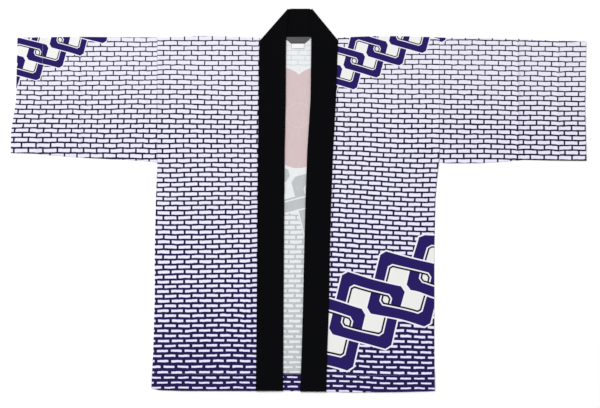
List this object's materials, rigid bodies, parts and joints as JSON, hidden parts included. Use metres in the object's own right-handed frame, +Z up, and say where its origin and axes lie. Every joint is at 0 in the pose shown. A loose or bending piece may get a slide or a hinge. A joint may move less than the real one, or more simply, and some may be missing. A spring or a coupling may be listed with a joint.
{
  "type": "happi coat",
  "caption": "Open-fronted happi coat laid flat face up, with wide short tube sleeves, a brick and linked-chain resist print, and a plain black collar band.",
  "frame": {"origin": "on the surface it lies on, under the middle of the coat's bounding box", "axes": "+X towards the wearer's left cuff, +Y from the hem to the collar, +Z up off the surface"},
  "size_m": [1.294, 0.8628, 0.0064],
  "materials": {
    "printed_cotton": "matte plain weave",
    "black_twill": "matte twill",
    "grey_tape": "woven tape",
    "white_tape": "satin tape"
  },
  "bodies": {
    "root": {"back": "printed_cotton", "front_right": "printed_cotton", "front_left": "printed_cotton", "sleeve_right": "printed_cotton", "sleeve_left": "printed_cotton", "collar": "black_twill", "neck_label": "grey_tape", "size_label": "white_tape"}
  },
  "joints": []
}
